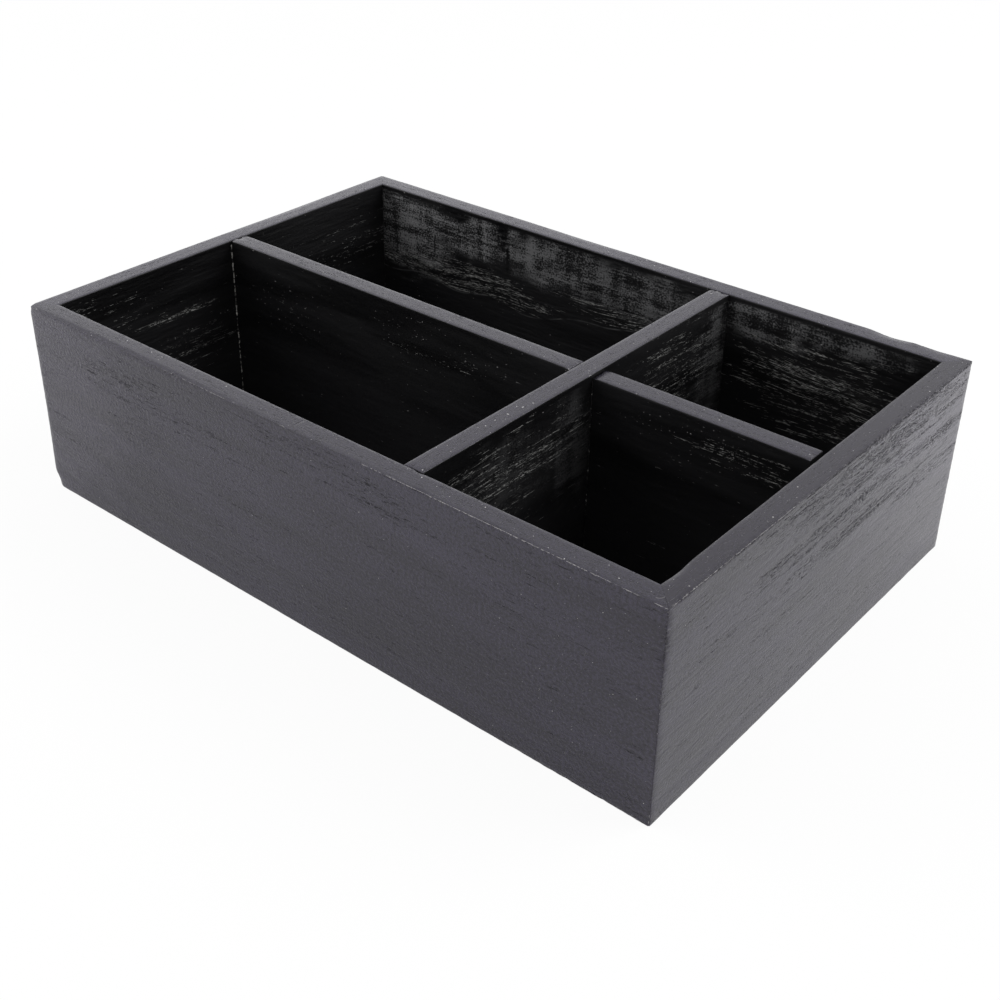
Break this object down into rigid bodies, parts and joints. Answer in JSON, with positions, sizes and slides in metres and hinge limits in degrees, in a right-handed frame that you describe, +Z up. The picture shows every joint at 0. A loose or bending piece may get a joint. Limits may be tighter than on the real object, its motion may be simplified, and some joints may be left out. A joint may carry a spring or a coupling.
{
  "type": "coffee station organizer",
  "caption": "Open-top divided wooden tray with mitred walls, a let-in bottom and offset dividers, to stand on a counter and hold cups, pods, stirrers and sugar.",
  "frame": {"origin": "middle of the underside, where the box stands on the counter", "axes": "+X to the right and +Y to the back as seen from the plain long front board, +Z up out of the open top"},
  "size_m": [0.33, 0.22, 0.09],
  "materials": {
    "outside_paint": "charcoal paint over open-grained wood, worn satin",
    "inside_paint": "near-black paint over open-grained wood, satin",
    "steel": "plain wire brads"
  },
  "bodies": {
    "root": {"front_board": "outside_paint", "back_board": "outside_paint", "left_board": "outside_paint", "right_board": "outside_paint", "bottom_panel": "inside_paint", "cross_divider": "inside_paint", "left_divider": "inside_paint", "right_divider": "inside_paint", "front_left_corner_brads": "steel", "front_right_corner_brads": "steel", "back_left_corner_brads": "steel", "back_right_corner_brads": "steel", "cross_divider_front_brads": "steel", "cross_divider_back_brads": "steel", "left_divider_wall_brads": "steel", "left_divider_cross_brads": "steel", "bottom_panel_front_brads": "steel", "bottom_panel_back_brads": "steel", "bottom_panel_left_brads": "steel", "bottom_panel_right_brads": "steel", "cross_divider_bottom_brads": "steel", "left_divider_bottom_brads": "steel", "right_divider_bottom_brads": "steel"}
  },
  "joints": []
}
